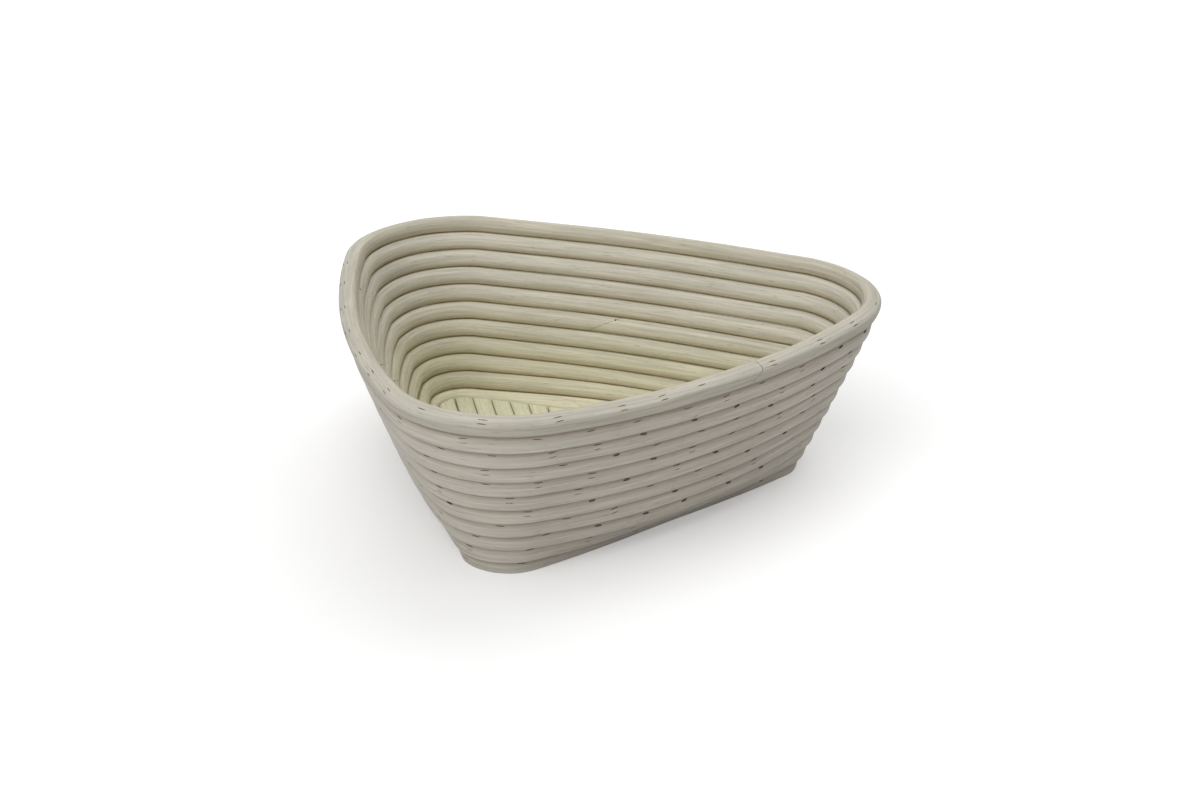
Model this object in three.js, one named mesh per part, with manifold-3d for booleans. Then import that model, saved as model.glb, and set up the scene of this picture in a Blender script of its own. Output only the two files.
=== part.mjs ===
// Triangular proofing basket: hoops of cane stacked into a flared wall round a floor of straight slats.
// Millimetres, +Z up. The origin is on the axis of the triangle, on the underside that stands on the table.
// The +X axis points at one rounded corner, and the slats run along Y, parallel to the opposite side.
import * as THREE from 'three';
import { mergeVertices } from 'three/addons/utils/BufferGeometryUtils.js';
import Module from 'manifold-3d';

const wasm = await Module();
wasm.setup();

// The cane: rounded on the inside of the wall, nearly flat on the outside, where its lower edge stands proud
const CANE_HEIGHT = 8.5;
const CANE_OUTER_HALF = 3.9;
const CANE_OUTER_DRAFT = 1.6;
const CANE_INNER_HALF = 4.6;
const CANE_FLAT_SEAT = 1.8;
const CANE_LOWER_ROUND = 1.2;
const CANE_UPPER_ROUND = 1.8;

// The rim's cane differs on the outside, where it hardly overhangs, and on top, where it is sanded down
const RIM_OUTER_DRAFT = 0.2;
const RIM_LOWER_ROUND = 2.2;
const RIM_UPPER_ROUND = 1.9;
const RIM_CROWN_DROP = 0.7;

// The stack of hoops
const ROW_COUNT = 11;
const ROW_CLEARANCE = 0.3;
const BASE_ROW_HEIGHT = 3.4;
const BASE_SIDE_ARCH = 1.9;

// The plan of the base hoop's centre line
const CORNER_CENTRE_REACH = 86;
const BASE_CORNER_RADIUS = 18.1;
const BASE_SIDE_REACH = 65;

// How far the wall leans out from upright, in degrees
const FOOT_LEAN = 24.8;
const RIM_LEAN = 21.7;
const SIDE_LEAN_LESS = 1.1;
const TUCKED_ROWS = 2;
const TUCK_LEAN = 46.5;

// The slanted scarf that closes each hoop, and the side that it lies on, from the rim down.
// Side 0 follows the +X corner, at +Y, side 1 lies at -X and side 2 at -Y. Row by row the scarf moves along
const SCARF_SLOPE = 1.1;
const SCARF_CLEARANCE = 0.4;
const SCARF_STATION_ROOM = 9;
const SCARF_SIDES = [2, 1, 1, 1, 1, 0, 1, 1, 1, 1, 1];
const RIM_SCARF_SHARE = 0.61;
const SCARF_SHARE_STEP = 0.41;
const SCARF_MARGIN = 0.2;

// The floor
const SLAT_PITCH = 8.9;
const SLAT_GAP = 0.5;
const SLAT_THICKNESS = 5.5;
const SLAT_EDGE_ROUND = 0.8;
const SLAT_PATTERN_OFFSET = 2.05;
const FLOOR_CLEARANCE = 0.3;

// Facets
const CORNER_STEPS = 7;
const SIDE_STEPS = 8;
const INNER_QUARTER_STEPS = 3;
const LEAST_EDGE = 0.001;
const ROUND_SEGMENTS = 3;

const THIRD = (2 * Math.PI) / 3;
const ROW_PITCH = CANE_HEIGHT + ROW_CLEARANCE;
const SLAT_WIDTH = SLAT_PITCH - SLAT_GAP;
const BASE_CORNER_REACH = CORNER_CENTRE_REACH + BASE_CORNER_RADIUS;

const hoopMaterial = () => new THREE.MeshStandardMaterial({ color: 0xcdbf9d, roughness: 0.72, metalness: 0 });
const rimMaterial = () => new THREE.MeshStandardMaterial({ color: 0xd6cbb0, roughness: 0.7, metalness: 0 });
const slatMaterial = () => new THREE.MeshStandardMaterial({ color: 0xdccf9a, roughness: 0.75, metalness: 0 });

// Lean of the wall from row to row + 1, at a corner and at the middle of a side
function cornerLean(row) {
  const share = row / Math.max(1, ROW_COUNT - 2);
  return THREE.MathUtils.degToRad(THREE.MathUtils.lerp(FOOT_LEAN, RIM_LEAN, share));
}

function sideLean(row) {
  if (row < TUCKED_ROWS) return THREE.MathUtils.degToRad(TUCK_LEAN);
  return cornerLean(row) - THREE.MathUtils.degToRad(SIDE_LEAN_LESS);
}

// Plan of one hoop: three corner arcs, and three side arcs tangent to them that bow out to sideReach.
// A side that bows in has a radius and a half angle below zero
function hoopPlan(cornerReach, sideReach) {
  const cornerRadius = cornerReach - CORNER_CENTRE_REACH;
  const halfChord = CORNER_CENTRE_REACH * Math.sin(THIRD / 2);
  const chordReach = CORNER_CENTRE_REACH * Math.cos(THIRD / 2);
  const rise = sideReach - chordReach;
  const sideRadius = (halfChord ** 2 + rise ** 2 - cornerRadius ** 2) / (2 * (rise - cornerRadius));
  const sideHalfAngle = Math.atan(halfChord / (sideRadius - rise));
  return { cornerRadius, sideRadius, sideHalfAngle, sideCentreReach: sideReach - sideRadius };
}

// The plans of all the hoops, from the base to the rim
function hoopPlans() {
  const plans = [];
  let cornerReach = BASE_CORNER_REACH;
  let sideReach = BASE_SIDE_REACH;
  for (let row = 0; row < ROW_COUNT; row += 1) {
    plans.push(hoopPlan(cornerReach, sideReach));
    cornerReach += ROW_PITCH * Math.sin(cornerLean(row));
    sideReach += ROW_PITCH * Math.sin(sideLean(row));
  }
  return plans;
}

const plans = hoopPlans();

// A place round a hoop counts thirds of a turn: first half of each on the corner arc, second half on the side
function placeParts(place) {
  const third = Math.floor(place);
  const share = place - third;
  const onCorner = share < 0.5;
  return { third, onCorner, along: onCorner ? 2 * share : 2 * share - 1 };
}

// Point of a hoop's centre line in plan, with the outward normal there
function planPoint(row, place) {
  const plan = plans[row];
  const { third, onCorner, along } = placeParts(place);
  const halfArc = onCorner ? THIRD / 2 - plan.sideHalfAngle : plan.sideHalfAngle;
  const middle = THIRD * (onCorner ? third : third + 0.5);
  const angle = middle + halfArc * (2 * along - 1);
  const reach = onCorner ? CORNER_CENTRE_REACH : plan.sideCentreReach;
  const radius = onCorner ? plan.cornerRadius : plan.sideRadius;
  const normal = new THREE.Vector3(Math.cos(angle), Math.sin(angle), 0);
  const point = new THREE.Vector3(reach * Math.cos(middle), reach * Math.sin(middle), 0);
  return { point: point.addScaledVector(normal, radius), normal };
}

// Each row rests on the one below: the two centre lines stay one pitch apart, square to the wall
function stepOut(row, place) {
  const lower = planPoint(row, place);
  const upper = planPoint(row + 1, place);
  return upper.point.sub(lower.point).dot(lower.normal);
}

function stepLean(row, place) {
  return Math.asin(stepOut(row, place) / ROW_PITCH);
}

function rowHeight(row, place) {
  const { onCorner, along } = placeParts(place);
  const arch = onCorner ? 0 : BASE_SIDE_ARCH * Math.sin(Math.PI * along) ** 2;
  let height = BASE_ROW_HEIGHT + arch;
  for (let below = 0; below < row; below += 1) height += ROW_PITCH * Math.cos(stepLean(below, place));
  return height;
}

// Centre of the cane's section at a place, with the lean of the wall just below it and just above it
function sectionFrame(row, place) {
  const { point, normal } = planPoint(row, place);
  point.z = rowHeight(row, place);
  const leanBelow = stepLean(Math.max(0, row - 1), place);
  const leanAbove = stepLean(Math.min(ROW_COUNT - 2, row), place);
  return { point, normal, leanBelow, leanAbove };
}

// Point of the cane's section. Its upper and lower seats lie square to the steps to the rows they touch
function sectionPoint({ point, normal, leanBelow, leanAbove }, { x, y }) {
  const lean = THREE.MathUtils.lerp(leanBelow, leanAbove, 0.5 + y / CANE_HEIGHT);
  const outwards = x * Math.cos(lean) + y * Math.sin(lean);
  const upwards = y * Math.cos(lean) - x * Math.sin(lean);
  return normal.clone().multiplyScalar(outwards).setZ(upwards).add(point);
}

// Section of the cane, anticlockwise: x goes out through the wall and y up along it
function caneSection({ draft, lowerRound, upperRound, crownDrop }) {
  const low = CANE_HEIGHT / 2;
  const high = CANE_HEIGHT / 2 - crownDrop;
  const lowerOut = CANE_OUTER_HALF + draft / 2;
  const upperOut = CANE_OUTER_HALF - draft / 2;
  const section = new THREE.Shape();
  section.moveTo(lowerOut, -low + lowerRound);
  section.lineTo(upperOut, high - upperRound);
  section.quadraticCurveTo(upperOut, high, upperOut - upperRound, high);
  section.lineTo(-CANE_FLAT_SEAT, high);
  const innerHalf = CANE_INNER_HALF - CANE_FLAT_SEAT;
  section.absellipse(-CANE_FLAT_SEAT, 0, innerHalf, high, Math.PI / 2, Math.PI, false, 0);
  section.absellipse(-CANE_FLAT_SEAT, 0, innerHalf, low, Math.PI, 1.5 * Math.PI, false, 0);
  section.lineTo(lowerOut - lowerRound, -low);
  section.quadraticCurveTo(lowerOut, -low, lowerOut, -low + lowerRound);
  return sectionPoints(section);
}

const wallCane = () => caneSection({
  draft: CANE_OUTER_DRAFT,
  lowerRound: CANE_LOWER_ROUND,
  upperRound: CANE_UPPER_ROUND,
  crownDrop: 0,
});

const rimCane = () => caneSection({
  draft: RIM_OUTER_DRAFT,
  lowerRound: RIM_LOWER_ROUND,
  upperRound: RIM_UPPER_ROUND,
  crownDrop: RIM_CROWN_DROP,
});

// Corner curves take two steps each, and each quarter of the round inner face takes its own count.
// The joins between its arcs, which have no length, are left out
function sectionPoints(section) {
  const points = [];
  for (const curve of section.curves) {
    if (curve.getLength() < LEAST_EDGE) continue;
    const round = curve.isEllipseCurve ? INNER_QUARTER_STEPS : 2;
    const steps = curve.isLineCurve ? 1 : round;
    points.push(...curve.getPoints(steps).slice(0, -1));
  }
  return points;
}

// Places where a hoop gets a section: its two scarfed ends, and the steps round the arcs between them
function hoopPlaces(row, scarfPlace) {
  const steps = [];
  for (let third = 0; third <= 6; third += 1) {
    for (let step = 0; step < CORNER_STEPS; step += 1) steps.push(third + (0.5 * step) / CORNER_STEPS);
    for (let step = 0; step < SIDE_STEPS; step += 1) steps.push(third + 0.5 + (0.5 * step) / SIDE_STEPS);
  }
  const start = planPoint(row, scarfPlace).point;
  const between = steps.filter((place) => {
    const inside = place > scarfPlace && place < scarfPlace + 3;
    return inside && planPoint(row, place).point.distanceTo(start) > SCARF_STATION_ROOM;
  });
  return [scarfPlace, ...between, scarfPlace + 3];
}

// Where a hoop's scarf lies, kept to the flatter part of a side
function scarfPlaceOf(row) {
  const rowsBelowRim = ROW_COUNT - 1 - row;
  const side = SCARF_SIDES[rowsBelowRim % SCARF_SIDES.length];
  const share = (RIM_SCARF_SHARE + rowsBelowRim * SCARF_SHARE_STEP) % 1;
  const along = THREE.MathUtils.lerp(SCARF_MARGIN, 1 - SCARF_MARGIN, share);
  return side + 0.5 + 0.5 * along;
}

// Every other hoop has its scarf slanted the other way
function scarfSlopeOf(row) {
  return (ROW_COUNT - 1 - row) % 2 === 0 ? SCARF_SLOPE : -SCARF_SLOPE;
}

// One hoop: the section carried round the plan, with both ends cut on the same slant.
// Above and below, the facets split along the same diagonal in space, so that twisted seats still match
function hoopGeometry(row, section, scarfPlace) {
  const places = hoopPlaces(row, scarfPlace);
  const slope = scarfSlopeOf(row);
  const last = places.length - 1;
  const count = section.length;
  const positions = [];
  places.forEach((place, index) => {
    const frame = sectionFrame(row, place);
    const along = new THREE.Vector3(-frame.normal.y, frame.normal.x, 0);
    const end = (index === 0 ? 1 : 0) - (index === last ? 1 : 0);
    for (const spot of section) {
      const shift = end === 0 ? 0 : slope * spot.y + (end * SCARF_CLEARANCE) / 2;
      positions.push(...sectionPoint(frame, spot).addScaledVector(along, shift).toArray());
    }
  });
  const faces = [];
  for (let ring = 0; ring < last; ring += 1) {
    for (let side = 0; side < count; side += 1) {
      const a = ring * count + side;
      const b = ring * count + ((side + 1) % count);
      const upper = section[side].y > 0;
      if (upper) faces.push(a, a + count, b + count, a, b + count, b);
      else faces.push(a, a + count, b, a + count, b + count, b);
    }
  }
  for (let side = 1; side < count - 1; side += 1) {
    faces.push(0, side, side + 1);
    faces.push(last * count, last * count + side + 1, last * count + side);
  }
  const geometry = new THREE.BufferGeometry();
  geometry.setAttribute('position', new THREE.Float32BufferAttribute(positions, 3));
  geometry.setIndex(faces);
  return geometry;
}

function solidOf(geometry) {
  const bare = geometry.clone();
  bare.deleteAttribute('normal');
  bare.deleteAttribute('uv');
  const merged = mergeVertices(bare);
  const vertProperties = new Float32Array(merged.attributes.position.array);
  const triVerts = new Uint32Array(merged.index.array);
  return new wasm.Manifold(new wasm.Mesh({ numProp: 3, vertProperties, triVerts }));
}

function geometryOf(solid) {
  const mesh = solid.getMesh();
  const geometry = new THREE.BufferGeometry();
  geometry.setAttribute('position', new THREE.BufferAttribute(mesh.vertProperties, 3));
  geometry.setIndex(new THREE.BufferAttribute(mesh.triVerts, 1));
  return geometry;
}

// The base hoop is planed flat where it stands on the table
function planedFlat(geometry) {
  geometry.computeBoundingBox();
  const size = geometry.boundingBox.getSize(new THREE.Vector3()).multiplyScalar(2);
  const above = new THREE.BoxGeometry(size.x, size.y, size.z);
  above.translate(0, 0, size.z / 2);
  return geometryOf(solidOf(geometry).intersect(solidOf(above)));
}

// The outline that the floor fills: the base hoop's inner face, less a clearance
function floorOutline(section) {
  const outline = [];
  for (let third = 0; third < 3; third += 1) {
    for (let step = 0; step < 2 * CORNER_STEPS; step += 1) outline.push(third + (0.25 * step) / CORNER_STEPS);
    for (let step = 0; step < SIDE_STEPS; step += 1) outline.push(third + 0.5 + (0.5 * step) / SIDE_STEPS);
  }
  return outline.map((place) => {
    const frame = sectionFrame(0, place);
    const { point, normal } = frame;
    const reaches = section.map((spot) => sectionPoint(frame, spot).sub(point).dot(normal));
    point.addScaledVector(normal, Math.min(...reaches) - FLOOR_CLEARANCE);
    return new THREE.Vector2(point.x, point.y);
  });
}

// A slat's section: flat below, with its two upper edges eased
function slatProfile(width) {
  const half = width / 2;
  const shape = new THREE.Shape();
  shape.moveTo(-half, 0);
  shape.lineTo(half, 0);
  shape.lineTo(half, SLAT_THICKNESS - SLAT_EDGE_ROUND);
  shape.quadraticCurveTo(half, SLAT_THICKNESS, half - SLAT_EDGE_ROUND, SLAT_THICKNESS);
  shape.lineTo(-half + SLAT_EDGE_ROUND, SLAT_THICKNESS);
  shape.quadraticCurveTo(-half, SLAT_THICKNESS, -half, SLAT_THICKNESS - SLAT_EDGE_ROUND);
  return shape;
}

// A slat before its ends are cut, from one distance along X to another
function slatBar(from, to, length) {
  const bar = new THREE.ExtrudeGeometry(slatProfile(to - from), {
    depth: length, bevelEnabled: false, curveSegments: ROUND_SEGMENTS,
  });
  return bar.rotateX(Math.PI / 2).translate((from + to) / 2, length / 2, 0);
}

// Slats from the base hoop's side to the far corner, each cut to the outline. The last one fills the corner
function slatGeometries(section) {
  const outline = floorOutline(section);
  const xs = outline.map((point) => point.x);
  const ys = outline.map((point) => point.y);
  const length = 2 * (Math.max(...ys) - Math.min(...ys));
  const floor = new THREE.ExtrudeGeometry(new THREE.Shape(outline), {
    depth: 3 * SLAT_THICKNESS, bevelEnabled: false,
  });
  floor.translate(0, 0, -SLAT_THICKNESS);
  const floorSolid = solidOf(floor);
  const firstCentre = Math.min(...xs) + SLAT_WIDTH / 2;
  const lastCentre = Math.max(...xs) - SLAT_WIDTH / 2;
  const first = Math.ceil((firstCentre - SLAT_PATTERN_OFFSET) / SLAT_PITCH);
  const last = Math.floor((lastCentre - SLAT_PATTERN_OFFSET) / SLAT_PITCH);
  const slats = [];
  for (let slat = first; slat <= last; slat += 1) {
    const from = SLAT_PATTERN_OFFSET + slat * SLAT_PITCH - SLAT_WIDTH / 2;
    const to = slat === last ? Math.max(...xs) : from + SLAT_WIDTH;
    slats.push(geometryOf(solidOf(slatBar(from, to, length)).intersect(floorSolid)));
  }
  return slats;
}

function namedMesh(name, geometry, material) {
  const mesh = new THREE.Mesh(geometry, material);
  mesh.name = name;
  return mesh;
}

function hoopName(row) {
  if (row === 0) return 'base_hoop';
  if (row === ROW_COUNT - 1) return 'rim_hoop';
  return `wall_hoop_${String(row).padStart(2, '0')}`;
}

function buildWall(wallSection) {
  const wall = new THREE.Group();
  const rimSection = rimCane();
  for (let row = 0; row < ROW_COUNT; row += 1) {
    const isRim = row === ROW_COUNT - 1;
    const hoop = hoopGeometry(row, isRim ? rimSection : wallSection, scarfPlaceOf(row));
    const material = isRim ? rimMaterial() : hoopMaterial();
    wall.add(namedMesh(hoopName(row), row === 0 ? planedFlat(hoop) : hoop, material));
  }
  return wall;
}

function buildFloor(wallSection) {
  const floor = new THREE.Group();
  slatGeometries(wallSection).forEach((geometry, index) => {
    floor.add(namedMesh(`floor_slat_${String(index + 1).padStart(2, '0')}`, geometry, slatMaterial()));
  });
  return floor;
}

const wallSection = wallCane();
const basket = new THREE.Group();
basket.add(buildWall(wallSection), buildFloor(wallSection));

export default basket;
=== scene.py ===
"""Dresses a triangular proofing basket: fine cane hoops, floor slats, staples and their finishes.

Metres, +Z up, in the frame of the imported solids: the origin is on the axis of the triangle, on the table,
+X points at one rounded corner and the floor slats run along Y.
"""

import logging
import math
import random
from bisect import bisect_right
from dataclasses import dataclass, field, replace
from enum import Enum
from functools import cached_property

import bmesh
import bpy
from mathutils import Matrix, Vector, noise


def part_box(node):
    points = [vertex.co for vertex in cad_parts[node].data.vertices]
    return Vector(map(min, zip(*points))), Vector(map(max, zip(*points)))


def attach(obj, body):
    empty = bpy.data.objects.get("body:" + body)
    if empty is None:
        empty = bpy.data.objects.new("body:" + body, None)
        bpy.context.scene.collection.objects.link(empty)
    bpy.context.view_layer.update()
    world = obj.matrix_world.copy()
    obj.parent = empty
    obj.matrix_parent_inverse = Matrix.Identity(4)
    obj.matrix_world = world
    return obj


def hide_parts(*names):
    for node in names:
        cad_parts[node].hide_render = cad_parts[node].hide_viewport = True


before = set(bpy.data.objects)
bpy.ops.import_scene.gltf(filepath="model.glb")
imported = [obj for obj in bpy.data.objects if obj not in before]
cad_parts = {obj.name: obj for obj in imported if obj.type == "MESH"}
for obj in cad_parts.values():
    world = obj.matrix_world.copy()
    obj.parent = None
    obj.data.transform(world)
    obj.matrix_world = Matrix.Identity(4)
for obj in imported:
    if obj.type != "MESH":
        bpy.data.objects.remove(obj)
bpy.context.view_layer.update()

LOG = logging.getLogger("basket")
MM = 0.001
SIDES = 3
THIRD = math.tau / SIDES
DOWN = Vector((0.0, 0.0, -1.0))
WHITE = (1.0, 1.0, 1.0, 1.0)
NOISE_MIDDLE = 0.5
DISPLAY_TOP = 255
CURVE_KNEE = 0.04045
CURVE_SLOPE = 12.92
CURVE_LIFT = 0.055
CURVE_POWER = 2.4
BODY = "root"
RUN_MAP = "run"
TURN_MAP = "turn"

Colour = tuple[int, int, int]
Size = tuple[float, float, float]
Range = tuple[float, float]


class Arc(Enum):
    """The two kinds of arc that make up a hoop's plan."""

    CORNER = 0
    SIDE = 1


class Seat(Enum):
    """The two seats of a cane, by the name of the mask of the painted crease shade beside each."""

    LOWER = "Lower"
    UPPER = "Upper"


class StapleLook(Enum):
    """How a staple shows on the cane that it was driven into."""

    OPEN = "a gaping hole with the crown inside"
    PAIR = "two thin slits, one under the other"
    FAINT = "one thin slit, nearly closed"


class Torn(Enum):
    """The finishes inside the cuts, by their place among the cutter's materials. The deep one is torn fibres,
    painted much darker as painted shade inside the deep holes.
    """

    DEEP = 0
    SHALLOW = 1


def linear(red: int, green: int, blue: int) -> tuple[float, float, float, float]:
    """Turns a display colour into the linear one that shaders take.

    Args:
        red: Red, from 0 to 255.
        green: Green, from 0 to 255.
        blue: Blue, from 0 to 255.

    Returns:
        The linear colour, opaque.
    """
    def channel(value: int) -> float:
        """Undoes the display curve of one channel."""
        share = value / DISPLAY_TOP
        if share <= CURVE_KNEE:
            return share / CURVE_SLOPE
        return ((share + CURVE_LIFT) / (1 + CURVE_LIFT)) ** CURVE_POWER

    return channel(red), channel(green), channel(blue), 1.0


def lerp(low: float, high: float, share: float) -> float:
    """Goes from low to high by a share."""
    return low + (high - low) * share


def direction(polar: float, elevation: float) -> Vector:
    """The unit vector at an angle from +X round the axis and an angle above the table."""
    level = math.cos(elevation)
    return Vector((math.cos(polar) * level, math.sin(polar) * level, math.sin(elevation)))


@dataclass(frozen=True)
class HoopPlan:
    """Plan of one hoop: its corner arcs, and the side arcs tangent to them."""

    corner_radius: float
    side_radius: float
    side_half_angle: float
    side_centre_reach: float


@dataclass(frozen=True)
class Station:
    """One cross-section of a hoop: its centre, and how the wall leans just below it and just above it."""

    centre: Vector
    normal: Vector
    lean_below: float
    lean_above: float

    @property
    def along(self) -> Vector:
        """The level direction in which the hoop runs."""
        return Vector((-self.normal.y, self.normal.x, 0.0))

    def lean(self, y: float, height: float) -> float:
        """The lean of the section at a height y above its centre."""
        return lerp(self.lean_below, self.lean_above, 0.5 + y / height)

    def place(self, x: float, y: float, height: float) -> Vector:
        """Puts a point of the section into the frame.

        Args:
            x: Distance out through the wall.
            y: Distance up along the wall.
            height: Height of the whole section.

        Returns:
            The point in the frame.
        """
        lean = self.lean(y, height)
        outwards = x * math.cos(lean) + y * math.sin(lean)
        upwards = y * math.cos(lean) - x * math.sin(lean)
        return self.centre + self.normal * outwards + Vector((0.0, 0.0, upwards))


@dataclass(frozen=True)
class CaneSection:
    """Section of a cane by turns round it.

    A turn of 0 is the lower seat, a quarter the outer face, a half the upper seat and three quarters the
    inner face.
    """

    height: float = 8.8 * MM
    outer_half: float = 3.9 * MM
    outer_draft: float = 1.6 * MM
    inner_half: float = 4.6 * MM
    seat_half: float = 1.8 * MM
    crown_drop: float = 0.0
    lower_square: float = 5.0
    upper_square: float = 3.4
    segments: int = 48

    def spot(self, turn: float) -> tuple[float, float]:
        """Gives a point of the section: round inside, squarer outside, where it stands proud at the bottom.

        Args:
            turn: Turns round the section.

        Returns:
            The distances out through the wall and up along it.
        """
        angle = math.tau * turn - math.pi / 2
        across, rise = math.cos(angle), math.sin(angle)
        half = self.height / 2 - (self.crown_drop if rise > 0 else 0.0)
        if across < 0:
            return -self.seat_half + (self.inner_half - self.seat_half) * across, half * rise
        power = 2 / (self.upper_square if rise > 0 else self.lower_square)
        y = math.copysign(half * abs(rise) ** power, rise)
        outer = self.outer_half - self.outer_draft * y / self.height
        return -self.seat_half + (outer + self.seat_half) * across ** power, y

    @cached_property
    def girths(self) -> list[float]:
        """The lengths round the section up to each of its points, from the lower seat."""
        spots = [Vector(self.spot(step / self.segments)) for step in range(self.segments + 1)]
        lengths = [0.0]
        for before, after in zip(spots, spots[1:]):
            lengths.append(lengths[-1] + (after - before).length)
        return lengths


@dataclass(frozen=True)
class Wall:
    """The flared wall of stacked hoops. Row 0 is the base hoop, and the last row is the rim."""

    row_count: int = 11
    row_pitch: float = 8.8 * MM
    base_row_height: float = 3.4 * MM
    base_side_arch: float = 1.9 * MM
    corner_centre_reach: float = 86.0 * MM
    base_corner_radius: float = 18.1 * MM
    base_side_reach: float = 65.0 * MM
    foot_lean: float = math.radians(24.8)
    rim_lean: float = math.radians(21.7)
    side_lean_less: float = math.radians(1.1)
    tucked_rows: int = 2
    tuck_lean: float = math.radians(46.5)

    def corner_lean(self, row: int) -> float:
        """The lean of the wall at a corner, from a row to the next."""
        return lerp(self.foot_lean, self.rim_lean, row / (self.row_count - 2))

    def side_lean(self, row: int) -> float:
        """The lean of the wall at the middle of a side, from a row to the next."""
        return self.tuck_lean if row < self.tucked_rows else self.corner_lean(row) - self.side_lean_less

    @cached_property
    def plans(self) -> list[HoopPlan]:
        """The plans of all the hoops, from the base to the rim."""
        plans = []
        half_chord = self.corner_centre_reach * math.sin(THIRD / 2)
        chord_reach = self.corner_centre_reach * math.cos(THIRD / 2)
        radius, side_reach = self.base_corner_radius, self.base_side_reach
        for row in range(self.row_count):
            rise = side_reach - chord_reach
            side_radius = (half_chord ** 2 + rise ** 2 - radius ** 2) / (2 * (rise - radius))
            half_angle = math.atan(half_chord / (side_radius - rise))
            plans.append(HoopPlan(radius, side_radius, half_angle, side_reach - side_radius))
            radius += self.row_pitch * math.sin(self.corner_lean(row))
            side_reach += self.row_pitch * math.sin(self.side_lean(row))
        return plans

    @staticmethod
    def parts_of(place: float) -> tuple[int, Arc, float]:
        """Splits a place, in thirds of a turn, into the third, its arc and the share along that arc."""
        third = math.floor(place)
        double = 2 * (place - third)
        return (third, Arc.CORNER, double) if double < 1 else (third, Arc.SIDE, double - 1)

    def plan_point(self, row: int, place: float) -> tuple[Vector, Vector]:
        """Finds a point of a hoop's centre line in plan.

        Args:
            row: Row of the hoop.
            place: Place round it, in thirds of a turn.

        Returns:
            The point and the outward normal there, both level.
        """
        plan = self.plans[row]
        third, arc, share = self.parts_of(place)
        on_corner = arc is Arc.CORNER
        half_arc = THIRD / 2 - plan.side_half_angle if on_corner else plan.side_half_angle
        middle = THIRD * (third if on_corner else third + 0.5)
        angle = middle + half_arc * (2 * share - 1)
        reach = self.corner_centre_reach if on_corner else plan.side_centre_reach
        radius = plan.corner_radius if on_corner else plan.side_radius
        normal = Vector((math.cos(angle), math.sin(angle), 0.0))
        return Vector((reach * math.cos(middle), reach * math.sin(middle), 0.0)) + normal * radius, normal

    def step_lean(self, row: int, place: float) -> float:
        """The lean of the step from a row to the one that rests on it."""
        lower, normal = self.plan_point(row, place)
        upper, _ = self.plan_point(row + 1, place)
        return math.asin((upper - lower).dot(normal) / self.row_pitch)

    def station(self, row: int, place: float) -> Station:
        """Makes the cross-section of a row at a place.

        Args:
            row: Row of the hoop.
            place: Place round it, in thirds of a turn.

        Returns:
            The station there.
        """
        centre, normal = self.plan_point(row, place)
        _, arc, share = self.parts_of(place)
        height = self.base_row_height
        if arc is Arc.SIDE:
            height += self.base_side_arch * math.sin(math.pi * share) ** 2
        for below in range(row):
            height += self.row_pitch * math.cos(self.step_lean(below, place))
        centre.z = height
        below = self.step_lean(max(0, row - 1), place)
        above = self.step_lean(min(self.row_count - 2, row), place)
        return Station(centre, normal, below, above)


@dataclass(frozen=True)
class Scarf:
    """The slanted joint that closes a hoop, and how it moves on from row to row."""

    slope: float = 2.0
    rim_slope: float = 1.1
    clearance: float = 0.3 * MM
    room: float = 20 * MM
    sides: tuple[int, ...] = (2, 1, 1, 1, 1, 0, 1, 1, 1, 1, 1)
    rim_share: float = 0.61
    share_step: float = 0.41
    margin: float = 0.2

    def place(self, rows_below_rim: int) -> float:
        """The place of the scarf on a row, kept to the flatter part of a side."""
        side = self.sides[rows_below_rim]
        share = (self.rim_share + rows_below_rim * self.share_step) % 1
        return side + 0.5 + 0.5 * lerp(self.margin, 1 - self.margin, share)

    def slant(self, rows_below_rim: int) -> float:
        """The slope of the scarf on a row: every other hoop is cut the other way."""
        if rows_below_rim == 0:
            return self.rim_slope
        return self.slope if rows_below_rim % 2 == 0 else -self.slope

    def shift(self, rows_below_rim: int, y: float, done: float, left: float) -> float:
        """Moves a point of the hoop along it, so that its two ends are cut on the slant.

        Args:
            rows_below_rim: Rows from the rim down to this one.
            y: Height of the point in the section.
            done: Length of the hoop up to the point.
            left: Length of the hoop after the point.

        Returns:
            The shift along the hoop.
        """
        near = min(done, left)
        fade = max(0.0, 1 - near / self.room)
        gap = self.clearance / 2 if done < left else -self.clearance / 2
        return (self.slant(rows_below_rim) * y + gap) * fade


def new_object(name: str, bm: bmesh.types.BMesh, *materials: bpy.types.Material) -> bpy.types.Object:
    """Makes an object at the origin from a bmesh, which is freed.

    Args:
        name: Name of the object.
        bm: Its shape, in the frame.
        materials: Its material slots, in order.

    Returns:
        The object, linked to the scene.
    """
    mesh = bpy.data.meshes.new(name)
    bm.to_mesh(mesh)
    bm.free()
    for material in materials:
        mesh.materials.append(material)
    made = bpy.data.objects.new(name, mesh)
    bpy.context.scene.collection.objects.link(made)
    return made


def cut_away(piece: bpy.types.Object, cutter: bpy.types.Object) -> None:
    """Cuts one object out of another for good, and deletes the cutter.

    Args:
        piece: The object that is cut.
        cutter: The closed shapes that are taken away. Their material lines the cuts.
    """
    cut = piece.modifiers.new("cut", "BOOLEAN")
    cut.operation = "DIFFERENCE"
    cut.solver = "MANIFOLD"
    cut.material_mode = "TRANSFER"
    cut.object = cutter
    bpy.context.view_layer.update()
    depsgraph = bpy.context.evaluated_depsgraph_get()
    result = bpy.data.meshes.new_from_object(piece.evaluated_get(depsgraph), preserve_all_data_layers=True,
                                             depsgraph=depsgraph)
    piece.modifiers.clear()
    whole, piece.data = piece.data, result
    result.name = piece.name
    bpy.data.meshes.remove(whole)
    bpy.data.meshes.remove(cutter.data)


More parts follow.
